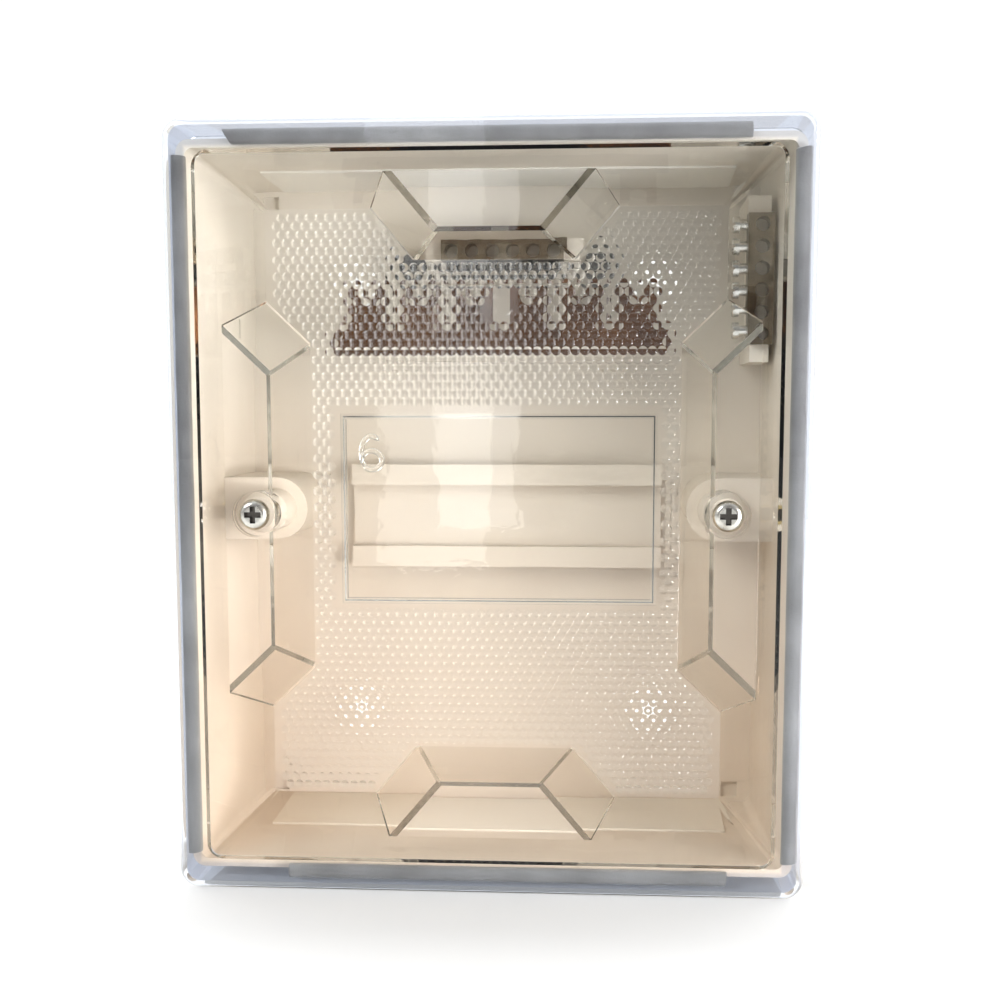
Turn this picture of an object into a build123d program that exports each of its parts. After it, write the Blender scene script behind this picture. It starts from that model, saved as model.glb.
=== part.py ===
from build123d import *
import os

# Six-way consumer enclosure with a clear screw-on cover, in millimetres.
# X is to the right and Z is up. The back lies on the wall plane Y = 0 and the front faces -Y.
# A "depth" is a distance in front of the wall plane, and the origin is the centre of the wall fixings.

# tray
tray_width = 186.0  # over the rim
tray_height = 222.0
tray_depth = 76.0
tray_lean_x = 3.5  # how far each side wall leans in from the rim to the back
tray_lean_z = 2.5
tray_wall = 2.5
tray_corner = 4.0
tray_edge = 1.5
wall_hole_spacing_x = 102.0
wall_hole_spacing_z = 147.0
wall_hole_radius = 3.0
wall_pad_radius = 8.0
wall_pad_rise = 1.5
corner_slot = 5.5
corner_slot_skin = 0.6  # thin skin that closes each corner slot at the back
corner_slot_inset_x = 7.0  # from the inside corner of the back to the slot's centre
corner_slot_inset_z = 4.6
side_slot = 6.5
side_slot_depth = 20.0
side_slot_left_z = 57.0
side_slot_right_z = -61.0
peg_radius = 2.0
peg_play = 0.1
peg_tip = 0.5  # the pegs stop short of the wall plane
cut_over = 1.0  # how far a cut runs past the face it opens

# cover
cover_wall = 2.0
cover_play_x = 1.0  # between the skirt and the tray's rim
cover_play_z = 3.5
cover_corner = 6.0
cover_edge = 1.8
skirt_depth = 24.0
flange_x = 10.0  # width of the flat ring round the recess
flange_z = 10.5
recess_depth = 33.5
recess_lean_x = 13.5
recess_lean_z = 12.5
recess_corner = 3.0
face_corner = 0.8
wall_slant = 1.08  # thickness of a leaning wall measured across the front, over its true thickness
step_drop = 11.0  # the four steps lie this far behind the flange
side_step_reach = 13.9  # how far each step stands into the face, at the face
side_step_half = 52.0
side_step_spread = 0.95
end_step_reach = 15.8
end_step_half = 25.7
end_step_spread = 0.85
side_step_lean = 8.3
end_step_lean = 6.4
step_end_lean = 9.0
pillar_radius = 7.0  # clear pillar that stands behind each screw's head
pillar_rise = 2.0  # in front of the step
pillar_foot_gap = 0.3
gate_ring_radius = 4.1
gate_ring_width = 1.0
gate_ring_rise = 0.5
gate_ring_x = 2.0
gate_ring_drop = 47.0  # from the tray's upper rim

# window pane
pane_width = 97.0
pane_height = 57.0
pane_x = 1.0
pane_z = -0.6
pane_play = 0.2
pane_lip = 2.0
pane_lip_thickness = 1.2
pane_film = 0.1  # the lip stands off the face, and only its weld rib touches
weld_rib = 0.4
digit_height = 12.4
digit_width = 8.4
digit_stroke = 1.8
digit_bowl = 7.8  # height of the closed lower part
digit_tip = 2.7  # how far the upper end reaches to the right of the middle
digit_rise = 0.6
digit_inset_x = 8.2  # from the pane's left edge to the digit's centre
digit_inset_z = 10.5

# foam strips
gasket_width = 4.8
gasket_depth = 4.0  # room left between the rim and the flange
gasket_gap = 0.2
gasket_shy_z = 0.9  # the upper and lower strips lie this far from the skirt
gasket_top_length = 154.0
gasket_bottom_length = 135.0
gasket_bottom_x = 5.5
gasket_side_shy = 5.0  # the side strips stop this far from the rim's ends

# cover screws and their bosses
screw_inset = 20.9  # from the rim's side to the screw's centre
screw_z = -0.6
screw_radius = 1.95
screw_length = 26.0
screw_head_radius = 4.75
screw_head_height = 3.2
head_round = 0.7  # share of a head's height that is rounded over
screw_hole_play = 0.35
thread_play = 0.05
boss_radius = 10.0
boss_depth = 45.0
post_radius = 6.5
post_tip_radius = 5.0
post_taper = 5.0  # length of the post's tapered end
post_drop = 6.0  # from the step's front to the post's end
pilot_over = 2.0  # how far a pilot hole runs past its screw
insert_radius = 3.0
insert_length = 9.0
recess_cross_width = 1.7
recess_cross_span = 5.2
recess_cross_depth = 2.3

# entry plates
plate_width = 150.0  # the part that goes through the wall
plate_height = 37.0
plate_depth = 23.5  # depth of the plate's centre
plate_rim = 2.0
plate_rim_thickness = 1.2
plate_plug = 1.9
plate_play = 0.15

# rail
rail_length = 106.0
rail_height = 35.0
rail_x = 1.0
rail_z = -5.2
rail_rise = 7.5
rail_channel = 27.0
rail_wall = 3.0
rail_web = 2.5
rail_lip = 1.7
rail_peg_x = 40.0

# comb busbar and its carrier
ways = 6
way_pitch = 17.6
comb_x = 1.0
comb_front = 31.0
comb_thickness = 1.5
comb_drop = 30.2  # from the neutral link down to the comb's foot
comb_body = 7.9
comb_fork = 22.1  # height of a fork's tips above the foot
comb_fork_width = 12.0
comb_notch_width = 5.6
comb_notch_depth = 6.7
comb_tail_left = 5.3
comb_tail_right = 4.0
comb_tail_corner = 3.0
comb_tab_x = 30.0
comb_tab_width = 8.0
comb_tab_depth = 5.0
carrier_length = 82.0
carrier_bar = 7.5
carrier_leg_width = 7.0
carrier_margin = 0.9
carrier_floor = 2.0  # left under the comb's tabs
tab_play = 0.15

# terminal links, one above for the neutrals and one on the right for the earths
terminals = 6
terminal_pitch = 6.7
link_side = 8.0
wire_radius = 2.2
wire_inset = 4.4
clamp_radius = 1.7
clamp_back = 2.6  # bare shank left between the head and the bar
clamp_head_radius = 2.6
clamp_head = 2.2
clamp_slot = 0.8
clamp_slot_depth = 0.9
clamp_tip = 2.0
clamp_bevel = 0.4
neutral_x = 0.8
neutral_drop = 31.5  # from the tray's upper rim to the lower side of the bar
neutral_seat = 17.0
neutral_foot = 8.0
neutral_ear = 3.0
neutral_fixing_x = 31.0
neutral_fixing_drop = 1.0  # below the lower side of the bar
neutral_block_height = 13.5
neutral_block_corner = 2.0
ear_radius = 5.2
ear_post_shy = 1.0  # the post under each ear is this much smaller
ear_bite = 1.0  # how far the ear's neck runs into the block
earth_gap = 0.9  # between the bar and the side wall
earth_drop = 39.7  # from the tray's upper rim to the bar's middle
earth_seat = 39.0
earth_bridge = 6.0
earth_holder_width = 7.0
earth_leg = 6.0
cheek_length = 5.4
cheek_rise = 5.0
fixing_head_radius = 4.6
fixing_head_height = 2.4
fixing_radius = 1.8
fixing_length = 9.0

# sizes that follow
cover_front = tray_depth + gasket_depth + cover_wall
cover_width = tray_width + 2 * (cover_play_x + cover_wall)
cover_height = tray_height + 2 * (cover_play_z + cover_wall)
opening_width = cover_width - 2 * flange_x
opening_height = cover_height - 2 * flange_z
face_width = opening_width - 2 * recess_lean_x
face_height = opening_height - 2 * recess_lean_z
face_depth = cover_front - recess_depth
step_depth = cover_front - step_drop
slant = cover_wall * wall_slant
screw_x = tray_width / 2 - screw_inset
gate_ring_z = tray_height / 2 - gate_ring_drop
neutral_z = tray_height / 2 - neutral_drop
neutral_fixing_z = neutral_z - neutral_fixing_drop
comb_foot = neutral_z - comb_drop
earth_wall = tray_width / 2 - tray_lean_x * (1 - earth_seat / tray_depth) - tray_wall
earth_x = earth_wall - earth_gap - link_side  # left side of the upright bar
earth_z = tray_height / 2 - earth_drop
gasket_side_length = tray_height - 2 * gasket_side_shy
rail_front = tray_wall + rail_rise
screw_seat = step_depth + pillar_rise
post_depth = step_depth - post_drop


def at(depth):
    return Plane.XZ.offset(depth)


def block(width, height, low, high, x=0.0, z=0.0, corner=0.0):
    outline = RectangleRounded(width, height, corner) if corner else Rectangle(width, height)
    return extrude(at(low) * Pos(x, z) * outline, high - low)


def rod(radius, low, high, x=0.0, z=0.0):
    return extrude(at(low) * Pos(x, z) * Circle(radius), high - low)


def funnel(low_size, high_size, low, high, low_corner, high_corner):
    first = at(low) * RectangleRounded(low_size[0], low_size[1], low_corner)
    last = at(high) * RectangleRounded(high_size[0], high_size[1], high_corner)
    return loft([first, last])


def tray_size(depth, inset=0.0):
    lean = 1 - depth / tray_depth
    width = tray_width - 2 * tray_lean_x * lean - 2 * inset
    return width, tray_height - 2 * tray_lean_z * lean - 2 * inset


def wall_frame():
    """The frame of the upper wall's outside at the plate's centre, with Z out of the wall."""
    half = tray_size(plate_depth)[1] / 2
    return Plane(origin=(0, -plate_depth, half), x_dir=(1, 0, 0), z_dir=(0, tray_lean_z / tray_depth, 1))


def slab(frame, width, height, low, high):
    return extrude(frame.offset(low) * Rectangle(width, height), high - low)


def entry_plate():
    frame = wall_frame()
    rim = slab(frame, plate_width + 2 * plate_rim, plate_height + 2 * plate_rim, -plate_rim_thickness, 0)
    plug = slab(frame, plate_width, plate_height, -plate_rim_thickness - plate_plug, -plate_rim_thickness)
    return rim + plug


def entry_cut():
    frame = wall_frame()
    grow = 2 * plate_play
    rebate_width = plate_width + 2 * plate_rim + grow
    rebate = slab(frame, rebate_width, plate_height + 2 * plate_rim + grow, -plate_rim_thickness, tray_wall)
    through = slab(frame, plate_width + grow, plate_height + grow, -2 * tray_wall, tray_wall)
    return rebate + through


def side_boss(side):
    reach = tray_width / 2 - screw_x
    round_end = rod(boss_radius, 0, boss_depth, side * screw_x, screw_z)
    to_wall = block(reach, 2 * boss_radius, 0, boss_depth, side * (screw_x + reach / 2), screw_z)
    shoulder = post_depth - post_taper
    post = rod(post_radius, 0, shoulder, side * screw_x, screw_z)
    centre = Pos(side * screw_x, screw_z)
    tip = loft([at(shoulder) * centre * Circle(post_radius), at(post_depth) * centre * Circle(post_tip_radius)])
    return round_end + to_wall + post + tip


def base_tray():
    outer = funnel(tray_size(0), tray_size(tray_depth), 0, tray_depth, tray_corner, tray_corner)
    outer = fillet(outer.faces().sort_by(Axis.Y)[-1].edges(), tray_edge)
    inner_corner = tray_corner - tray_wall / 2
    mouth = tray_depth + cut_over
    floor_size = tray_size(tray_wall, tray_wall)
    inner = funnel(floor_size, tray_size(mouth, tray_wall), tray_wall, mouth, inner_corner, inner_corner)
    tray = outer - inner
    tray += outer & (side_boss(-1) + side_boss(1))
    wall_holes = [
        (x * wall_hole_spacing_x / 2, z * wall_hole_spacing_z / 2) for x in (-1, 1) for z in (-1, 1)
    ]
    for x, z in wall_holes:
        tray += rod(wall_pad_radius, 0, tray_wall + wall_pad_rise, x, z)
    for side in (-1, 1):
        x = neutral_x + side * neutral_fixing_x
        tray += rod(ear_radius - ear_post_shy, 0, neutral_foot, x, neutral_fixing_z)
    for x, z in wall_holes:
        tray -= rod(wall_hole_radius, -cut_over, tray_wall + wall_pad_rise + cut_over, x, z)
    for x, z in peg_places():
        tray -= rod(peg_radius + peg_play, -cut_over, tray_wall + cut_over, x, z)
    slot_x = floor_size[0] / 2 - corner_slot_inset_x
    slot_z = floor_size[1] / 2 - corner_slot_inset_z
    for x in (-slot_x, slot_x):
        for z in (-slot_z, slot_z):
            tray -= block(corner_slot, corner_slot, corner_slot_skin, tray_wall + cut_over, x, z)
    for side, z in ((-1, side_slot_left_z), (1, side_slot_right_z)):
        low = side_slot_depth - side_slot / 2
        tray -= block(4 * tray_wall, side_slot, low, low + side_slot, side * tray_width / 2, z)
    for side in (-1, 1):
        x = side * screw_x
        tray -= rod(insert_radius, post_depth - insert_length, post_depth + cut_over, x, screw_z)
        pilot = screw_seat - screw_length - pilot_over
        tray -= rod(screw_radius + screw_hole_play, pilot, post_depth, x, screw_z)
        x = neutral_x + side * neutral_fixing_x
        pilot = neutral_foot + neutral_ear - fixing_length - pilot_over / 2
        tray -= rod(fixing_radius, pilot, neutral_foot + cut_over, x, neutral_fixing_z)
    cut = entry_cut()
    return tray - cut - mirror(cut, about=Plane.XY)


def peg_places():
    rail = [(rail_x + side * rail_peg_x, rail_z) for side in (-1, 1)]
    carrier = [(comb_x + side * carrier_leg_x(), carrier_z()) for side in (-1, 1)]
    earth = [(earth_leg_x(), earth_z + side * earth_leg_z()) for side in (-1, 1)]
    return rail + carrier + earth


def peg(x, z):
    return rod(peg_radius, peg_tip, tray_wall, x, z)


def brass_insert(side):
    low = post_depth - insert_length
    x = side * screw_x
    sleeve = rod(insert_radius, low, post_depth, x, screw_z)
    return sleeve - rod(screw_radius + thread_play, low - cut_over, post_depth + cut_over, x, screw_z)


def recess_size(depth, grow=0.0):
    share = (cover_front - depth) / recess_depth
    width = opening_width - 2 * recess_lean_x * share + 2 * grow
    return width, opening_height - 2 * recess_lean_z * share + 2 * grow


def step_outline(depth, on_side, grow):
    """A step's outline across the front: its short edge faces the middle and it widens outwards."""
    rise = (depth - face_depth) / (step_depth - face_depth)
    if on_side:
        edge = face_width / 2 - side_step_reach + side_step_lean * rise + grow
        half = side_step_half - step_end_lean * rise - grow
        far, spread = cover_width / 2, side_step_spread
    else:
        edge = face_height / 2 - end_step_reach + end_step_lean * rise + grow
        half = end_step_half - step_end_lean * rise - grow
        far, spread = cover_height / 2, end_step_spread
    wide = half + spread * (far - edge)
    corners = [(edge, half), (far, wide), (far, -wide), (edge, -half)]
    if not on_side:
        corners = [(b, a) for a, b in corners]
    return at(depth) * make_face(Polyline(*corners, close=True))


def step_solid(on_side, grow, low, high):
    one = loft([step_outline(low, on_side, grow), step_outline(high, on_side, grow)])
    return one + mirror(one, about=Plane.YZ if on_side else Plane.XY)


def bowl():
    back = face_depth - cover_wall
    top = cover_front - cover_wall / 2
    corner = recess_corner + slant
    skin = funnel(recess_size(back, slant), recess_size(top, slant), back, top, face_corner + slant, corner)
    hollow_top = step_depth - cover_wall
    for on_side in (True, False):
        skin -= step_solid(on_side, slant, back - cut_over, hollow_top)
    return skin


def recess():
    front = cover_front + cut_over
    space = funnel(recess_size(face_depth), recess_size(front), face_depth, front, face_corner, recess_corner)
    for on_side in (True, False):
        space -= step_solid(on_side, 0.0, face_depth - cut_over, step_depth)
    return space


def clear_cover():
    back = cover_front - skirt_depth
    shell = block(cover_width, cover_height, back, cover_front, corner=cover_corner)
    shell = fillet(shell.faces().sort_by(Axis.Y)[0].edges(), cover_edge)
    room_width, room_height = cover_width - 2 * cover_wall, cover_height - 2 * cover_wall
    room_front, room_corner = cover_front - cover_wall, cover_corner - cover_wall
    shell -= block(room_width, room_height, back - cut_over, room_front, corner=room_corner)
    cover = shell + bowl() - recess()
    for side in (-1, 1):
        cover += rod(pillar_radius, post_depth + pillar_foot_gap, screw_seat, side * screw_x, screw_z)
    ring = rod(gate_ring_radius, face_depth, face_depth + gate_ring_rise, gate_ring_x, gate_ring_z)
    bore = rod(gate_ring_radius - gate_ring_width, face_depth, cover_front, gate_ring_x, gate_ring_z)
    cover += ring - bore
    for side in (-1, 1):
        cover -= rod(screw_radius + screw_hole_play, post_depth, cover_front, side * screw_x, screw_z)
    hole_width, hole_height = pane_width + 2 * pane_play, pane_height + 2 * pane_play
    low, high = face_depth - cover_wall - cut_over, face_depth + cut_over
    return cover - block(hole_width, hole_height, low, high, pane_x, pane_z)


def digit():
    """The way count, a six: a closed bowl under an open hook."""
    wide, tall = digit_width / 2, digit_height / 2
    hook = Ellipse(wide, tall) - Ellipse(wide - digit_stroke, tall - digit_stroke)
    bowl_half = digit_bowl / 2
    bowl_z = bowl_half - tall
    gap = Pos(wide, 0) * Rectangle(2 * wide, 2 * (tall - digit_stroke - digit_stroke / 2))
    beyond = Pos(digit_tip + wide, tall) * Rectangle(2 * wide, digit_height)
    bowl_ring = Ellipse(wide, bowl_half) - Ellipse(wide - digit_stroke, bowl_half - digit_stroke)
    shape = (hook - gap - beyond) + Pos(0, bowl_z) * bowl_ring
    x = pane_x - pane_width / 2 + digit_inset_x
    z = pane_z + pane_height / 2 - digit_inset_z
    return extrude(at(face_depth) * Pos(x, z) * shape, digit_rise)


def window_pane():
    back = face_depth - cover_wall
    lip_front = back - pane_film
    lip_back = lip_front - pane_lip_thickness
    plug = block(pane_width, pane_height, lip_front, face_depth, pane_x, pane_z)
    lip = block(pane_width + 2 * pane_lip, pane_height + 2 * pane_lip, lip_back, lip_front, pane_x, pane_z)
    reach = pane_lip + weld_rib
    rib = block(pane_width + reach, pane_height + reach, lip_front, back, pane_x, pane_z)
    reach = pane_lip - weld_rib
    rib -= block(pane_width + reach, pane_height + reach, lip_front, back, pane_x, pane_z)
    return plug + lip + rib + digit()


def gaskets():
    low, high = tray_depth + gasket_gap, cover_front - cover_wall
    end_z = cover_height / 2 - cover_wall - gasket_shy_z - gasket_width / 2
    side_x = cover_width / 2 - cover_wall - gasket_width / 2
    return {
        "gasket_top": block(gasket_top_length, gasket_width, low, high, 0.0, end_z),
        "gasket_bottom": block(gasket_bottom_length, gasket_width, low, high, gasket_bottom_x, -end_z),
        "gasket_left": block(gasket_width, gasket_side_length, low, high, -side_x),
        "gasket_right": block(gasket_width, gasket_side_length, low, high, side_x),
    }


def cover_screw(side):
    x = side * screw_x
    top = screw_seat + screw_head_height
    head = rod(screw_head_radius, screw_seat, top, x, screw_z)
    head = fillet(head.faces().sort_by(Axis.Y)[0].edges(), screw_head_height * head_round)
    screw = head + rod(screw_radius, screw_seat - screw_length, screw_seat, x, screw_z)
    for width, height in ((recess_cross_width, recess_cross_span), (recess_cross_span, recess_cross_width)):
        screw -= block(width, height, top - recess_cross_depth, top + cut_over, x, screw_z)
    return screw


def din_rail():
    rail = block(rail_length, rail_channel, tray_wall, tray_wall + rail_web, rail_x, rail_z)
    for side in (-1, 1):
        wall_z = rail_z + side * (rail_channel - rail_wall) / 2
        rail += block(rail_length, rail_wall, tray_wall, rail_front, rail_x, wall_z)
        lip = (rail_height - rail_channel) / 2 + rail_wall
        lip_z = rail_z + side * (rail_height - lip) / 2
        rail += block(rail_length, lip, rail_front - rail_lip, rail_front, rail_x, lip_z)
        rail += peg(rail_x + side * rail_peg_x, rail_z)
    return rail


def comb_busbar():
    back = comb_front - comb_thickness
    forks_width = (ways - 1) * way_pitch + comb_fork_width
    left, right = -forks_width / 2 - comb_tail_left, forks_width / 2 + comb_tail_right
    outline = Pos((left + right) / 2, comb_body / 2) * Rectangle(right - left, comb_body)
    tail = Pos(left, comb_body) * Rectangle(2 * comb_tail_corner, 2 * comb_tail_corner)
    outline -= tail - Pos(left + comb_tail_corner, comb_body - comb_tail_corner) * Circle(comb_tail_corner)
    notch_radius = comb_notch_width / 2
    for way in range(ways):
        x = (way - (ways - 1) / 2) * way_pitch
        outline += Pos(x, comb_fork / 2) * Rectangle(comb_fork_width, comb_fork)
        floor = comb_fork - comb_notch_depth + notch_radius
        notch_height = comb_fork - floor + cut_over
        notch = Pos(x, floor + notch_height / 2) * Rectangle(comb_notch_width, notch_height)
        outline -= notch + Pos(x, floor) * Circle(notch_radius)
    comb = extrude(at(back) * Pos(comb_x, comb_foot) * outline, comb_thickness)
    for side in (-1, 1):
        x, z = comb_x + side * comb_tab_x, comb_foot + comb_thickness / 2
        comb += block(comb_tab_width, comb_thickness, back - comb_tab_depth, back, x, z)
    return comb


def carrier_z():
    return comb_foot - carrier_margin + carrier_bar / 2


def carrier_leg_x():
    return (carrier_length - carrier_leg_width) / 2


def busbar_carrier():
    top = comb_front - comb_thickness
    bar_low = top - comb_tab_depth - carrier_floor
    carrier = block(carrier_length, carrier_bar, bar_low, top, comb_x, carrier_z())
    for side in (-1, 1):
        x = comb_x + side * carrier_leg_x()
        carrier += block(carrier_leg_width, carrier_bar, tray_wall, bar_low, x, carrier_z())
        carrier += peg(x, carrier_z())
        tab_x = comb_x + side * comb_tab_x
        tab_z = comb_foot + comb_thickness / 2
        slot_width, slot_height = comb_tab_width + 2 * tab_play, comb_thickness + 2 * tab_play
        slot_floor = top - comb_tab_depth - tab_play
        carrier -= block(slot_width, slot_height, slot_floor, top + cut_over, tab_x, tab_z)
    return carrier


def link_length():
    return terminals * terminal_pitch


def terminal_place(index):
    return (index - (terminals - 1) / 2) * terminal_pitch


def link_bar():
    """A link lying along X from depth 0, with its clamp screws on the lower side and wire holes in front."""
    bar = block(link_length(), link_side, 0, link_side, 0, link_side / 2)
    for index in range(terminals):
        x = terminal_place(index)
        bar -= rod(wire_radius, -cut_over, link_side + cut_over, x, wire_inset)
        thread = Cylinder(clamp_radius + thread_play, wire_inset)
        bar -= Pos(x, -link_side / 2, wire_inset / 2) * thread
    return bar


def clamp_screw(index):
    """One slotted clamp screw of a link, standing below the bar."""
    shank_length = clamp_tip + clamp_back
    shank = Pos(0, 0, clamp_tip - shank_length / 2) * Cylinder(clamp_radius, shank_length)
    head_top = -clamp_back
    head = Pos(0, 0, head_top - clamp_head / 2) * Cylinder(clamp_head_radius, clamp_head)
    head = chamfer(head.edges().sort_by(Axis.Z)[0], clamp_bevel)
    slot_z = head_top - clamp_head + clamp_slot_depth / 2
    head -= Pos(0, 0, slot_z) * Box(clamp_slot, 3 * clamp_head_radius, clamp_slot_depth)
    return Pos(terminal_place(index), -link_side / 2, 0) * (shank + head)


def neutral_place():
    return Location((neutral_x, -neutral_seat, neutral_z))


def earth_place():
    return Location((earth_x, -earth_seat, earth_z)) * Rotation(0, 90, 0)


def cheeks(link_x, link_z, seat, along_x, width):
    """Two ends that hold a link between them."""
    ends = []
    offset = (link_length() + cheek_length) / 2
    for side in (-1, 1):
        if along_x:
            ends.append(block(cheek_length, width, seat, seat + cheek_rise, link_x + side * offset, link_z))
        else:
            ends.append(block(width, cheek_length, seat, seat + cheek_rise, link_x, link_z + side * offset))
    return ends


def neutral_holder():
    width = link_length() + 2 * cheek_length
    top_z = neutral_z + link_side
    block_z = top_z - neutral_block_height / 2
    corner = neutral_block_corner
    holder = block(width, neutral_block_height, tray_wall, neutral_seat, neutral_x, block_z, corner)
    cheek_z = neutral_z + link_side / 2
    for end in cheeks(neutral_x, cheek_z, neutral_seat, True, link_side):
        holder += end
    ear_top = neutral_foot + neutral_ear
    for side in (-1, 1):
        x = neutral_x + side * neutral_fixing_x
        neck = neutral_fixing_x - width / 2 + ear_bite
        ear = rod(ear_radius, neutral_foot, ear_top, x, neutral_fixing_z)
        ear += block(neck, 2 * ear_radius, neutral_foot, ear_top, x - side * neck / 2, neutral_fixing_z)
        holder += ear - rod(fixing_radius + screw_hole_play, 0, ear_top + cut_over, x, neutral_fixing_z)
    return holder


def neutral_fixing_screws():
    """Two round-head screws, each its own solid."""
    seat = neutral_foot + neutral_ear
    screws = []
    for side in (-1, 1):
        x = neutral_x + side * neutral_fixing_x
        head = rod(fixing_head_radius, seat, seat + fixing_head_height, x, neutral_fixing_z)
        head = fillet(head.faces().sort_by(Axis.Y)[0].edges(), fixing_head_height * head_round)
        screw = head + rod(fixing_radius, seat - fixing_length, seat, x, neutral_fixing_z)
        top = seat + fixing_head_height
        slot_span, slot_floor = 3 * fixing_head_radius, top - clamp_slot_depth
        screw -= block(clamp_slot, slot_span, slot_floor, top + cut_over, x, neutral_fixing_z)
        screws.append(screw)
    return Compound(children=screws)


def earth_leg_x():
    return earth_x + earth_holder_width / 2


def earth_leg_z():
    return link_length() / 2 + cheek_length - earth_leg / 2


def earth_holder():
    length = link_length() + 2 * cheek_length
    x = earth_leg_x()
    holder = block(earth_holder_width, length, earth_seat - earth_bridge, earth_seat, x, earth_z)
    for side in (-1, 1):
        z = earth_z + side * earth_leg_z()
        holder += block(earth_holder_width, earth_leg, tray_wall, earth_seat, x, z)
        holder += peg(x, z)
    for end in cheeks(x, earth_z, earth_seat, False, earth_holder_width):
        holder += end
    return holder


def build():
    nodes = {"base_tray": base_tray(), "clear_cover": clear_cover(), "window_pane": window_pane()}
    plate = entry_plate()
    nodes["entry_plate_top"] = plate
    nodes["entry_plate_bottom"] = mirror(plate, about=Plane.XY)
    nodes["din_rail"] = din_rail()
    nodes["busbar_carrier"] = busbar_carrier()
    nodes["comb_busbar"] = comb_busbar()
    nodes["neutral_holder"] = neutral_holder()
    nodes["neutral_fixing_screws"] = neutral_fixing_screws()
    nodes["neutral_bar"] = neutral_place() * link_bar()
    nodes["earth_holder"] = earth_holder()
    nodes["earth_bar"] = earth_place() * link_bar()
    for index in range(terminals):
        nodes[f"neutral_screw_{index + 1}"] = neutral_place() * clamp_screw(index)
        nodes[f"earth_screw_{index + 1}"] = earth_place() * clamp_screw(index)
    for name, side in (("left", -1), ("right", 1)):
        nodes[f"cover_screw_{name}"] = cover_screw(side)
        nodes[f"boss_insert_{name}"] = brass_insert(side)
    nodes.update(gaskets())
    return nodes


os.makedirs("parts", exist_ok=True)
for node, shape in build().items():
    export_step(shape, f"parts/{node}.step")
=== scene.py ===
import math
import random
import bmesh
import bpy
from mathutils import Matrix, Vector


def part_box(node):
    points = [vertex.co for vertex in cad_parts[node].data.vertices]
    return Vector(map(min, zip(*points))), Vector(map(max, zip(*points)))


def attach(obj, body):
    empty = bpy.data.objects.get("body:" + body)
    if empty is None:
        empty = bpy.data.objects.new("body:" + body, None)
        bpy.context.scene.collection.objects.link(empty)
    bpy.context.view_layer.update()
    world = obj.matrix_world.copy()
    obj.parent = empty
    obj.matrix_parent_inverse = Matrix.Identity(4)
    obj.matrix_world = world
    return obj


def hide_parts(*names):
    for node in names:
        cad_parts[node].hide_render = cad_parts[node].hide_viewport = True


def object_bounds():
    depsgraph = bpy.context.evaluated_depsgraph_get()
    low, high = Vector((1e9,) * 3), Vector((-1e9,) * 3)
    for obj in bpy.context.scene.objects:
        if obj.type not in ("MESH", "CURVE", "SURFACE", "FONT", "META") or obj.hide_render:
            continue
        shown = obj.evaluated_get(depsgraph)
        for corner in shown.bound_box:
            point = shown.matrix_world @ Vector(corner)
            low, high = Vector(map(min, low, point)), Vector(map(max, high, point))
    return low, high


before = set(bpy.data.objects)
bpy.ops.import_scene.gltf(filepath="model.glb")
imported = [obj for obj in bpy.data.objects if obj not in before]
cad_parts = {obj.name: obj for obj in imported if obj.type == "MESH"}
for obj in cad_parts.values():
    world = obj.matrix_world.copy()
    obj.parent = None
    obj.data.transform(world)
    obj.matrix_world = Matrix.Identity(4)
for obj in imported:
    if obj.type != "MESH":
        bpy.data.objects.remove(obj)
cadLow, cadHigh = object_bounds()
random.seed(6)
print("frame loaded", len(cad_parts), "nodes")

# small helpers


def keepPiece(name, bm, body, material, smooth=True):
    mesh = bpy.data.meshes.new(name)
    bm.to_mesh(mesh)
    bm.free()
    for face in mesh.polygons:
        face.use_smooth = smooth
    piece = bpy.data.objects.new(name, mesh)
    bpy.context.scene.collection.objects.link(piece)
    mesh.materials.append(material)
    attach(piece, body)
    return piece


def startMaterial(name):
    material = bpy.data.materials.new(name)
    material.use_nodes = True
    tree = material.node_tree
    shader = tree.nodes["Principled BSDF"]
    return material, tree, shader


def addNode(tree, kind, **settings):
    node = tree.nodes.new(kind)
    for key, value in settings.items():
        if key in node.inputs:
            node.inputs[key].default_value = value
        else:
            setattr(node, key, value)
    return node


def objectNoise(tree, scale, detail=3.0, roughness=0.55, stretch=(1, 1, 1)):
    coords = addNode(tree, "ShaderNodeTexCoord")
    mapping = addNode(tree, "ShaderNodeMapping")
    mapping.inputs["Scale"].default_value = stretch
    noise = addNode(tree, "ShaderNodeTexNoise", Scale=scale, Detail=detail, Roughness=roughness)
    tree.links.new(coords.outputs["Object"], mapping.inputs["Vector"])
    tree.links.new(mapping.outputs["Vector"], noise.inputs["Vector"])
    return noise.outputs["Fac"]


def ramp(tree, source, stops):
    node = addNode(tree, "ShaderNodeValToRGB")
    while len(node.color_ramp.elements) < len(stops):
        node.color_ramp.elements.new(0.5)
    for element, (place, colour) in zip(node.color_ramp.elements, stops):
        element.position = place
        element.color = (*colour, 1.0)
    tree.links.new(source, node.inputs["Fac"])
    return node.outputs["Color"]


def spread(tree, source, low, high, sourceLow=0.3, sourceHigh=0.7):
    node = addNode(tree, "ShaderNodeMapRange")
    node.inputs["From Min"].default_value = sourceLow
    node.inputs["From Max"].default_value = sourceHigh
    node.inputs["To Min"].default_value = low
    node.inputs["To Max"].default_value = high
    tree.links.new(source, node.inputs["Value"])
    return node.outputs["Result"]


def objectParts(tree):
    coords = addNode(tree, "ShaderNodeTexCoord")
    parts = addNode(tree, "ShaderNodeSeparateXYZ")
    tree.links.new(coords.outputs["Object"], parts.inputs[0])
    return parts.outputs


def reckon(tree, operation, *terms):
    node = addNode(tree, "ShaderNodeMath", operation=operation)
    for place, term in enumerate(terms):
        if isinstance(term, (int, float)):
            node.inputs[place].default_value = term
        else:
            tree.links.new(term, node.inputs[place])
    return node.outputs[0]


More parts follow.
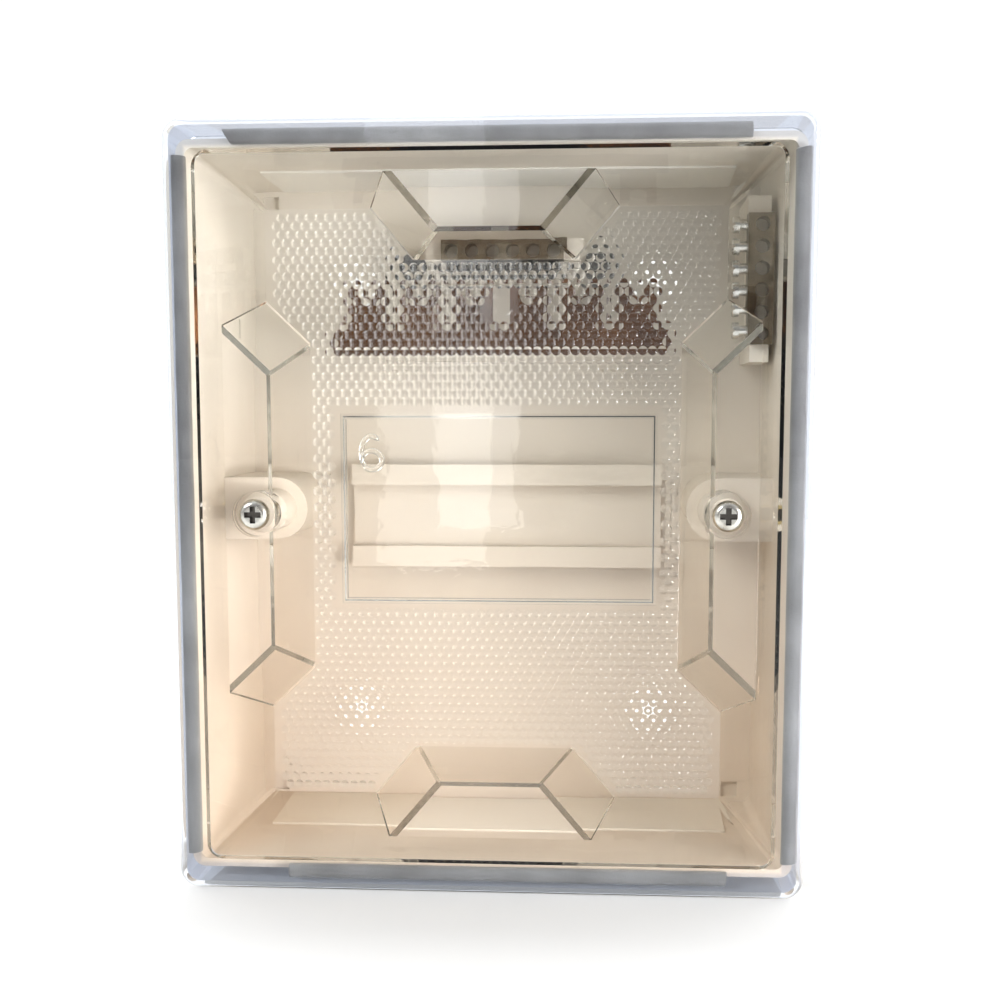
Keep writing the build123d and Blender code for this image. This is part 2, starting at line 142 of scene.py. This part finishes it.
def blend(tree, share, first, second):
    node = addNode(tree, "ShaderNodeMix", data_type="RGBA")
    tree.links.new(share, node.inputs["Factor"])
    for place, colour in ((6, first), (7, second)):
        if isinstance(colour, tuple):
            node.inputs[place].default_value = (*colour, 1.0)
        else:
            tree.links.new(colour, node.inputs[place])
    return node.outputs[2]


def addBump(tree, shader, source, strength, distance, under=None):
    bump = addNode(tree, "ShaderNodeBump", Strength=strength, Distance=distance)
    tree.links.new(source, bump.inputs["Height"])
    if under is not None:
        tree.links.new(under, bump.inputs["Normal"])
    tree.links.new(bump.outputs["Normal"], shader.inputs["Normal"])
    return bump.outputs["Normal"]


# opaque plastics
ivory = {
    "light": (0.70, 0.655, 0.575),
    "shade": (0.64, 0.595, 0.515),
    "footLight": (0.70, 0.59, 0.475),
    "footShade": (0.64, 0.53, 0.42),
    "paintedWarmFrom": (0.06, -0.06),  # painted warm light: the colour turns warmer towards the bottom between these heights, standing in for the pinkish light on the lower part
    "blotch": 14.0,
    "blotchEdges": (0.32, 0.66),
    "scuff": 90.0,
    "scuffStretch": (1, 1, 0.35),
    "grain": 1400.0,
    "grainDepth": 0.00003,
    "grainStrength": 0.35,
    "ior": 1.52,
    "roughLow": 0.36,
    "roughHigh": 0.5,
}
entry = dict(ivory, light=(0.80, 0.79, 0.74), shade=(0.75, 0.74, 0.68), roughLow=0.3, roughHigh=0.42)
# painted warm light: the entry plates' lower colours, standing in for the pinkish light on the lower part
entry.update(footLight=(0.79, 0.71, 0.60), footShade=(0.74, 0.66, 0.55))


def mouldedPlastic(name, values):
    material, tree, shader = startMaterial(name)
    blotch = objectNoise(tree, values["blotch"], 4.0)
    thin, thick = values["blotchEdges"]
    upper = ramp(tree, blotch, [(thin, values["shade"]), (thick, values["light"])])
    # painted warm light: the lower colours are blended in by height, so each part's bottom looks lit by
    # warmer light
    warmLitColour = ramp(tree, blotch, [(thin, values["footShade"]), (thick, values["footLight"])])
    paintedWarmth = spread(tree, objectParts(tree)["Z"], 0.0, 1.0, *values["paintedWarmFrom"])
    tree.links.new(blend(tree, paintedWarmth, upper, warmLitColour), shader.inputs["Base Color"])
    scuff = objectNoise(tree, values["scuff"], 5.0, 0.6, values["scuffStretch"])
    tree.links.new(spread(tree, scuff, values["roughLow"], values["roughHigh"]), shader.inputs["Roughness"])
    grain = objectNoise(tree, values["grain"], 2.0)
    addBump(tree, shader, grain, values["grainStrength"], values["grainDepth"])
    shader.inputs["IOR"].default_value = values["ior"]
    return material


ivoryPlastic = mouldedPlastic("ivoryPlastic", ivory)
entryPlastic = mouldedPlastic("entryPlastic", entry)
print("opaque plastics made")

# clear plastics
clear = {
    "tint": (0.98, 0.98, 0.972),
    "paintedBorderTint": (0.70, 0.74, 0.83),
    "paintedBorderFrom": (0.925, 0.935),  # share of the half size where the painted bluish border starts, standing in for the darker surroundings seen through the clear border
    "ior": 1.49,
    "haze": 30.0,
    "roughLow": 0.0,
    "roughHigh": 0.035,
    "rippleScale": 55.0,
    "rippleStretch": (1, 1, 0.55),
    "rippleDepth": 0.00008,
    "fineScale": 300.0,
    "fineStretch": (0.6, 1, 1),
    "fineDepth": 0.000008,
    "waveStrength": 0.5,
    "bounces": 0,  # light caught inside a wall leaves it after so many more reflections
}
window = dict(clear, tint=(0.985, 0.985, 0.97), rippleScale=70.0, rippleDepth=0.00009)
window.update(fineScale=240.0, fineDepth=0.00003)


# painted shade: the clear parts' border is tinted bluish grey, standing in for the darker surroundings seen
# through it
def paintedBorderColour(tree, values):
    place = objectParts(tree)
    acrossX = reckon(tree, "DIVIDE", reckon(tree, "ABSOLUTE", place["X"]), cadHigh.x)
    acrossZ = reckon(tree, "DIVIDE", reckon(tree, "ABSOLUTE", place["Z"]), cadHigh.z)
    furthest = reckon(tree, "MAXIMUM", acrossX, acrossZ)
    border = spread(tree, furthest, 0.0, 1.0, *values["paintedBorderFrom"])
    return ramp(tree, border, [(0.0, values["tint"]), (1.0, values["paintedBorderTint"])])


def clearPlastic(name, values):
    material, tree, shader = startMaterial(name)
    # painted shade on the border, seen through the clear plastic
    tree.links.new(paintedBorderColour(tree, values), shader.inputs["Base Color"])
    shader.inputs["Transmission Weight"].default_value = 1.0
    shader.inputs["IOR"].default_value = values["ior"]
    haze = objectNoise(tree, values["haze"], 4.0)
    tree.links.new(spread(tree, haze, values["roughLow"], values["roughHigh"]), shader.inputs["Roughness"])
    ripple = objectNoise(tree, values["rippleScale"], 2.0, 0.5, values["rippleStretch"])
    swell = addBump(tree, shader, ripple, values["waveStrength"], values["rippleDepth"])
    fine = objectNoise(tree, values["fineScale"], 2.0, 0.5, values["fineStretch"])
    addBump(tree, shader, fine, values["waveStrength"], values["fineDepth"], swell)
    rays = addNode(tree, "ShaderNodeLightPath")
    trapped = reckon(tree, "GREATER_THAN", rays.outputs["Glossy Depth"], values["bounces"] + 0.5)
    letOut = reckon(tree, "MAXIMUM", rays.outputs["Is Shadow Ray"], trapped)
    through = addNode(tree, "ShaderNodeBsdfTransparent")
    through.inputs["Color"].default_value = (*values["tint"], 1.0)
    mix = addNode(tree, "ShaderNodeMixShader")
    tree.links.new(letOut, mix.inputs[0])
    tree.links.new(shader.outputs["BSDF"], mix.inputs[1])
    tree.links.new(through.outputs["BSDF"], mix.inputs[2])
    tree.links.new(mix.outputs["Shader"], tree.nodes["Material Output"].inputs["Surface"])
    return material


coverPlastic = clearPlastic("coverPlastic", clear)
windowPlastic = clearPlastic("windowPlastic", window)
print("clear plastics made")

# metals
metals = {
    "combCopper": {
        "light": (0.14, 0.055, 0.014),
        "dark": (0.06, 0.022, 0.005),
        "rough": (0.34, 0.52),
        "tarnish": 60.0,
    },
    "linkBrass": {
        "light": (0.17, 0.135, 0.09),
        "dark": (0.07, 0.055, 0.04),
        "rough": (0.3, 0.5),
        "tarnish": 120.0,
    },
    "screwNickel": {
        "light": (0.80, 0.78, 0.72),
        "dark": (0.55, 0.52, 0.46),
        "rough": (0.14, 0.3),
        "tarnish": 300.0,
    },
    "clampSteel": {
        "light": (0.78, 0.78, 0.76),
        "dark": (0.5, 0.49, 0.46),
        "rough": (0.16, 0.32),
        "tarnish": 300.0,
    },
    "fixingSteel": {
        "light": (0.15, 0.145, 0.13),
        "dark": (0.05, 0.048, 0.042),
        "rough": (0.3, 0.5),
        "tarnish": 200.0,
    },
    "insertBrass": {
        "light": (0.62, 0.47, 0.22),
        "dark": (0.40, 0.28, 0.12),
        "rough": (0.25, 0.4),
        "tarnish": 200.0,
    },
}
brushing = {
    "scale": 700.0,
    "stretch": (0.15, 1, 1),
    "strength": 0.25,
    "depth": 0.00003,
}


def metal(name):
    values = metals[name]
    material, tree, shader = startMaterial(name)
    shader.inputs["Metallic"].default_value = 1.0
    tarnish = objectNoise(tree, values["tarnish"], 5.0, 0.6)
    colour = ramp(tree, tarnish, [(0.35, values["dark"]), (0.62, values["light"])])
    tree.links.new(colour, shader.inputs["Base Color"])
    smooth, rough = values["rough"]
    tree.links.new(spread(tree, tarnish, rough, smooth), shader.inputs["Roughness"])
    brushed = objectNoise(tree, brushing["scale"], 3.0, 0.6, brushing["stretch"])
    addBump(tree, shader, brushed, brushing["strength"], brushing["depth"])
    return material


# painted shade in the cross recess of each cover screw
recess = {
    "centre": (0.0721, -0.0006),
    "radius": 0.0028,
    "from": -0.0757,
    "full": -0.0751,
    "paintedShadeColour": (0.11, 0.10, 0.09),
}


def paintRecessShade(material):
    tree = material.node_tree
    shader = tree.nodes["Principled BSDF"]
    plated = shader.inputs["Base Color"].links[0].from_socket
    place = objectParts(tree)
    middleX, middleZ = recess["centre"]
    awayX = reckon(tree, "SUBTRACT", reckon(tree, "ABSOLUTE", place["X"]), middleX)
    awayZ = reckon(tree, "SUBTRACT", place["Z"], middleZ)
    squareX = reckon(tree, "MULTIPLY", awayX, awayX)
    squareZ = reckon(tree, "MULTIPLY", awayZ, awayZ)
    near = reckon(tree, "LESS_THAN", reckon(tree, "ADD", squareX, squareZ), recess["radius"] ** 2)
    deep = spread(tree, place["Y"], 0.0, 1.0, recess["from"], recess["full"])
    share = reckon(tree, "MULTIPLY", near, deep)
    # painted shade: the deep part of each screw's cross recess is darkened where shade falls
    tree.links.new(blend(tree, share, plated, recess["paintedShadeColour"]), shader.inputs["Base Color"])


combCopper = metal("combCopper")
linkBrass = metal("linkBrass")
screwNickel = metal("screwNickel")
clampSteel = metal("clampSteel")
fixingSteel = metal("fixingSteel")
insertBrass = metal("insertBrass")
# painted shade in the cover screws' cross recesses
paintRecessShade(screwNickel)
print("metals made")

# foam
foam = {
    "light": (0.29, 0.275, 0.24),
    "dark": (0.15, 0.14, 0.12),
    "patch": 45.0,
    "roughness": 0.7,
    "sheen": 0.25,
    "poreScale": 1500.0,
    "poreStrength": 0.6,
    "poreDepth": 0.00012,
    "segments": 22,
    "sliceLength": 0.002,
    "swell": 0.02,
    "waves": (70, 29),
    "skewReach": 12,  # how sharply an end's slant fades along the cord
    "rim": 0.0004,
    "margin": 0.00005,
}


def foamMaterial():
    material, tree, shader = startMaterial("greyFoam")
    patch = objectNoise(tree, foam["patch"], 4.0)
    colour = ramp(tree, patch, [(0.3, foam["dark"]), (0.7, foam["light"])])
    tree.links.new(colour, shader.inputs["Base Color"])
    shader.inputs["Roughness"].default_value = foam["roughness"]
    coords = addNode(tree, "ShaderNodeTexCoord")
    pores = addNode(tree, "ShaderNodeTexVoronoi", Scale=foam["poreScale"])
    tree.links.new(coords.outputs["Object"], pores.inputs["Vector"])
    addBump(tree, shader, pores.outputs["Distance"], foam["poreStrength"], foam["poreDepth"])
    shader.inputs["Sheen Weight"].default_value = foam["sheen"]
    return material


greyFoam = foamMaterial()


def foamCord(name, node, skewStart, skewEnd):
    low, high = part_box(node)
    size = high - low
    alongX = size.x > size.z
    length = size.x if alongX else size.z
    across = (size.z if alongX else size.x) / 2 - foam["margin"]
    bm = bmesh.new()
    bmesh.ops.create_circle(bm, cap_ends=True, segments=foam["segments"], radius=1.0)
    bmesh.ops.scale(bm, vec=(across, size.y / 2, 1), verts=bm.verts)
    start = bm.faces[:]
    grown = bmesh.ops.extrude_face_region(bm, geom=start, use_keep_orig=True)
    top = [part for part in grown["geom"] if isinstance(part, bmesh.types.BMVert)]
    bmesh.ops.translate(bm, vec=(0, 0, length), verts=top)
    sides = [edge for edge in bm.edges if edge.calc_length() > length * 0.9]
    cuts = round(length / foam["sliceLength"]) - 1
    bmesh.ops.subdivide_edges(bm, edges=sides, cuts=cuts, use_grid_fill=False)
    phase = random.uniform(0, 6)
    quick, slow = foam["waves"]
    reach = foam["skewReach"]
    for vert in bm.verts:
        share = vert.co.z / length
        slope = skewStart * (1 - share) ** reach - skewEnd * share ** reach
        wave = math.sin(quick * share + phase) + math.sin(slow * share + 2 * phase)
        swell = 1 + foam["swell"] * wave / 2 - foam["swell"]
        vert.co.z += slope * vert.co.x
        vert.co.x *= swell
        vert.co.y *= swell
    rims = [edge for edge in bm.edges if edge.is_valid and any(len(f.verts) > 4 for f in edge.link_faces)]
    bmesh.ops.bevel(bm, geom=rims, offset=foam["rim"], segments=2, profile=0.5, affect="EDGES", material=-1)
    turn = Matrix.Rotation(math.radians(90), 4, "Y") if alongX else Matrix.Identity(4)
    middle = (low + high) / 2
    begin = Vector((low.x, middle.y, middle.z)) if alongX else Vector((middle.x, middle.y, low.z))
    bmesh.ops.transform(bm, matrix=Matrix.Translation(begin) @ turn, verts=bm.verts)
    bmesh.ops.recalc_face_normals(bm, faces=bm.faces)
    piece = keepPiece(name, bm, "cover", greyFoam)
    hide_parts(node)
    return piece


foamCord("foamTop", "gasket_top", 0.6, 0.0)
foamCord("foamBottom", "gasket_bottom", 0.0, 0.1)
foamCord("foamLeft", "gasket_left", 0.15, 0.1)
foamCord("foamRight", "gasket_right", 0.1, -0.2)
print("foam cords made")

# embossed scales on the cover's face
scales = {
    "pitch": 0.003,
    "rowPitch": 0.0026,
    "radius": 0.00149,
    "height": 0.00031,
    "rings": (0.74, 0.4),
    "sunk": 0.00003,
    "segments": 10,
    "faceFront": -0.0485,
    "faceHalf": (0.0725, 0.0935),
    "edgeMargin": 0.0022,
    "windowMargin": 0.0022,  # from the window's hidden lip
    "sideFoot": (0.0586, 0.052, 0.95),
    "endFoot": (0.0777, 0.0257, 0.85),
    "footMargin": 0.0012,
    "footSide": 0.00168,
    "ring": (0.002, 0.064, 0.0056),
}


def scaleFits(x, z):
    halfX, halfZ = scales["faceHalf"]
    margin = scales["edgeMargin"]
    if abs(x) > halfX - margin or abs(z) > halfZ - margin:
        return False
    low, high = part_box("window_pane")
    gap = scales["windowMargin"]
    if low.x - gap < x < high.x + gap and low.z - gap < z < high.z + gap:
        return False
    feet = ((scales["sideFoot"], abs(x), abs(z)), (scales["endFoot"], abs(z), abs(x)))
    for (foot, half, slope), out, along in feet:
        near = foot - scales["footMargin"]
        if out > near and along < half + slope * (out - foot) + scales["footSide"]:
            return False
    ringX, ringZ, ringR = scales["ring"]
    return math.hypot(x - ringX, z - ringZ) > ringR


def oneScale():
    radius, height, sunk = scales["radius"], scales["height"], scales["sunk"]
    ball = (radius * radius + height * height) / (2 * height)
    bm = bmesh.new()
    bmesh.ops.create_circle(bm, cap_ends=False, segments=scales["segments"], radius=radius)
    rim = bm.edges[:]
    for share in scales["rings"]:
        grown = bmesh.ops.extrude_edge_only(bm, edges=rim)
        verts = [part for part in grown["geom"] if isinstance(part, bmesh.types.BMVert)]
        edges = [part for part in grown["geom"] if isinstance(part, bmesh.types.BMEdge)]
        rim = [edge for edge in edges if all(v in verts for v in edge.verts)]
        now = verts[0].co.xy.length
        bmesh.ops.scale(bm, vec=(radius * share / now, radius * share / now, 1), verts=verts)
        for vert in verts:
            vert.co.z = math.sqrt(ball ** 2 - (radius * share) ** 2) - (ball - height)
    bmesh.ops.contextual_create(bm, geom=rim)
    top = max(bm.faces, key=lambda face: face.calc_center_median().z)
    crown = bmesh.ops.poke(bm, faces=[top])
    for vert in crown["verts"]:
        vert.co.z = height
    foot = [edge for edge in bm.edges if edge.is_boundary]
    bmesh.ops.contextual_create(bm, geom=foot)
    for edge in foot:
        edge.smooth = False
    bmesh.ops.translate(bm, vec=(0, 0, -sunk), verts=bm.verts)
    forward = Matrix.Rotation(math.radians(90), 3, "X")
    bmesh.ops.rotate(bm, cent=(0, 0, 0), matrix=forward, verts=bm.verts)
    bmesh.ops.recalc_face_normals(bm, faces=bm.faces)
    mesh = bpy.data.meshes.new("oneScale")
    bm.to_mesh(mesh)
    bm.free()
    return mesh


def scaleField():
    mesh = oneScale()
    bm = bmesh.new()
    place = Vector((0, 0, 0))
    rows = int(scales["faceHalf"][1] / scales["rowPitch"]) + 1
    columns = int(scales["faceHalf"][0] / scales["pitch"]) + 1
    count = 0
    for row in range(-rows, rows + 1):
        shift = scales["pitch"] / 2 if row % 2 else 0.0
        for column in range(-columns, columns + 1):
            x, z = column * scales["pitch"] + shift, row * scales["rowPitch"]
            if not scaleFits(x, z):
                continue
            here = Vector((x, scales["faceFront"], z))
            mesh.transform(Matrix.Translation(here - place))
            place = here
            bm.from_mesh(mesh)
            count += 1
    bpy.data.meshes.remove(mesh)
    keepPiece("coverScales", bm, "cover", coverPlastic)
    return count


print("scales on the face", scaleField())

# rounded crown of the raised digit on the window
digit = {
    "centre": (-0.0393, 0.0174),
    "front": -0.0488,
    "half": (0.0033, 0.0053),
    "bowlHalf": 0.003,
    "hookFrom": 48,
    "hookTo": 232,
    "bowlFrom": 215,
    "bowlTo": 560,
    "halfWidth": 0.00085,
    "rise": 0.0009,
    "endShare": 0.35,
    "endSlope": 6,
    "steps": 26,
    "segments": 10,
}


def ridge(bm, middle, half, start, end):
    rings = []
    for step in range(digit["steps"] + 1):
        share = step / digit["steps"]
        turn = math.radians(start + (end - start) * share)
        x = middle[0] + half[0] * math.cos(turn)
        z = middle[1] + half[1] * math.sin(turn)
        spot = Vector((x, digit["front"], z))
        side = Vector((math.cos(turn) / half[0], 0, math.sin(turn) / half[1])).normalized()
        fade = min(1.0, digit["endShare"] + digit["endSlope"] * min(share, 1 - share))
        ring = []
        for corner in range(digit["segments"]):
            around = math.tau * corner / digit["segments"]
            out = side * digit["halfWidth"] * fade * math.cos(around)
            up = Vector((0, -1, 0)) * digit["rise"] * fade * math.sin(around)
            ring.append(bm.verts.new(spot + out + up))
        rings.append(ring)
    for first, second in zip(rings, rings[1:]):
        for corner in range(digit["segments"]):
            after = (corner + 1) % digit["segments"]
            bm.faces.new((first[corner], first[after], second[after], second[corner]))
    bm.faces.new(rings[0])
    bm.faces.new(rings[-1])


def digitCrown():
    x, z = digit["centre"]
    halfX, halfZ = digit["half"]
    bm = bmesh.new()
    ridge(bm, (x, z), (halfX, halfZ), digit["hookFrom"], digit["hookTo"])
    bowlZ = z - halfZ + digit["bowlHalf"]
    ridge(bm, (x, bowlZ), (halfX, digit["bowlHalf"]), digit["bowlFrom"], digit["bowlTo"])
    bmesh.ops.recalc_face_normals(bm, faces=bm.faces)
    keepPiece("digitCrown", bm, "cover", windowPlastic)


digitCrown()
print("digit's crown made")

# finishes of the frame's own parts
finishes = {
    "base_tray": ivoryPlastic,
    "din_rail": ivoryPlastic,
    "busbar_carrier": ivoryPlastic,
    "neutral_holder": ivoryPlastic,
    "earth_holder": ivoryPlastic,
    "entry_plate_top": entryPlastic,
    "entry_plate_bottom": entryPlastic,
    "clear_cover": coverPlastic,
    "window_pane": windowPlastic,
    "comb_busbar": combCopper,
    "neutral_bar": linkBrass,
    "earth_bar": linkBrass,
    "neutral_fixing_screws": fixingSteel,
    "cover_screw_left": screwNickel,
    "cover_screw_right": screwNickel,
    "boss_insert_left": insertBrass,
    "boss_insert_right": insertBrass,
}
for number in range(1, 7):
    finishes[f"neutral_screw_{number}"] = fixingSteel
    finishes[f"earth_screw_{number}"] = clampSteel
for node, finish in finishes.items():
    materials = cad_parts[node].data.materials
    materials.clear()
    materials.append(finish)
print("finishes given")

# floor, lights and camera
studio = {
    "floorColour": (0.86, 0.86, 0.85),
    "floorShade": 0.98,
    "floorRoughness": 0.75,
    "floorHalf": 4.0,
    "sweepAt": 1.3,
    "sweepRadius": 0.5,
    "wallHeight": 2.5,
    "frontColour": (0.30, 0.30, 0.31),
    "backColour": (0.95, 0.97, 1.0),
    "worldStrength": 0.85,
    "toBack": (-0.92, -0.3),
    "lamps": {
        "keyLamp": {
            "place": (-0.85, -0.95, 0.8),
            "aim": (0, 0, 0),
            "size": (0.7, 0.6),
            "power": 7.5,
            "colour": (0.95, 0.98, 1.0),
        },
        "fillLamp": {
            "place": (1.1, -0.8, 0.25),
            "aim": (0, 0, 0),
            "size": (0.7, 0.6),
            "power": 8,
            "colour": (1.0, 0.93, 0.86),
        },
        "lowLamp": {
            "place": (0.42, -0.42, -0.07),
            "aim": (0, 0, 0.05),
            "size": (0.25, 0.07),
            "power": 1.5,
            "colour": (0.96, 0.96, 1.0),
        },
        "backLamp": {
            "place": (0.0, 0.5, 1.7),
            "aim": (0, 1.3, 0.2),
            "size": (1.6, 0.8),
            "power": 30,
            "colour": (1.0, 1.0, 1.0),
        },
        "stripLamp": {
            "place": (-0.125, -1.45, 0.09),
            "aim": (0, 0, 0.0),
            "size": (0.1, 0.42),
            "power": 0.35,
            "colour": (1.0, 1.0, 1.0),
        },
    },
}


def floorMaterial():
    material, tree, shader = startMaterial("paleFloor")
    light = studio["floorColour"]
    shade = tuple(part * studio["floorShade"] for part in light)
    soft = objectNoise(tree, 2.0, 2.0)
    tree.links.new(ramp(tree, soft, [(0.3, shade), (0.7, light)]), shader.inputs["Base Color"])
    shader.inputs["Roughness"].default_value = studio["floorRoughness"]
    return material


def drawOut(bm, edges, step):
    grown = bmesh.ops.extrude_edge_only(bm, edges=edges)
    verts = [part for part in grown["geom"] if isinstance(part, bmesh.types.BMVert)]
    bmesh.ops.translate(bm, vec=step, verts=verts)
    return verts


def paleFloor():
    half, sweep, at = studio["floorHalf"], studio["sweepRadius"], studio["sweepAt"]
    bm = bmesh.new()
    first = bm.verts.new((-half, -half, cadLow.z))
    second = bm.verts.new((half, -half, cadLow.z))
    verts = drawOut(bm, [bm.edges.new((first, second))], (0, half + at, 0))
    far = [edge for edge in bm.edges if all(v in verts for v in edge.verts)]
    middle = (0, at, cadLow.z + sweep)
    bmesh.ops.spin(bm, geom=far, cent=middle, axis=(1, 0, 0), angle=math.radians(90), steps=12)
    back = max(vert.co.y for vert in bm.verts) - 1e-5
    top = [edge for edge in bm.edges if all(v.co.y > back for v in edge.verts)]
    drawOut(bm, top, (0, 0, studio["wallHeight"]))
    mesh = bpy.data.meshes.new("paleFloor")
    bm.to_mesh(mesh)
    bm.free()
    for face in mesh.polygons:
        face.use_smooth = True
    floor = bpy.data.objects.new("paleFloor", mesh)
    mesh.materials.append(floorMaterial())
    bpy.context.scene.collection.objects.link(floor)


def addLamps():
    for name, values in studio["lamps"].items():
        data = bpy.data.lights.new(name, "AREA")
        data.shape = "RECTANGLE"
        data.size, data.size_y = values["size"]
        data.energy = values["power"]
        data.color = values["colour"]
        lamp = bpy.data.objects.new(name, data)
        lamp.location = values["place"]
        toward = Vector(values["aim"]) - Vector(values["place"])
        lamp.rotation_euler = toward.to_track_quat("-Z", "Y").to_euler()
        lamp.visible_camera = False
        bpy.context.scene.collection.objects.link(lamp)


def setWorld():
    world = bpy.data.worlds.new("paleRoom")
    world.use_nodes = True
    tree = world.node_tree
    sky = tree.nodes["Background"]
    coords = addNode(tree, "ShaderNodeTexCoord")
    parts = addNode(tree, "ShaderNodeSeparateXYZ")
    tree.links.new(coords.outputs["Generated"], parts.inputs[0])
    toBack = spread(tree, parts.outputs["Y"], 0.0, 1.0, *studio["toBack"])
    colour = ramp(tree, toBack, [(0.0, studio["frontColour"]), (1.0, studio["backColour"])])
    tree.links.new(colour, sky.inputs["Color"])
    sky.inputs["Strength"].default_value = studio["worldStrength"]
    bpy.context.scene.world = world


view = {
    "lens": 57.6,
    "sensor": 36.0,
    "shift": (0.01, 0.11),
    "place": (0.03782, -0.55717, 0.03348),
    "turn": (82.596, 0.084, 4.412),
}


def addCamera():
    data = bpy.data.cameras.new("camera")
    data.lens = view["lens"]
    data.sensor_width = view["sensor"]
    data.shift_x, data.shift_y = view["shift"]
    camera = bpy.data.objects.new("camera", data)
    camera.location = view["place"]
    camera.rotation_euler = [math.radians(turn) for turn in view["turn"]]
    bpy.context.scene.collection.objects.link(camera)
    bpy.context.scene.camera = camera


paleFloor()
addLamps()
setWorld()
addCamera()
bpy.context.scene.view_settings.view_transform = "Standard"
print("floor, lamps and camera placed")
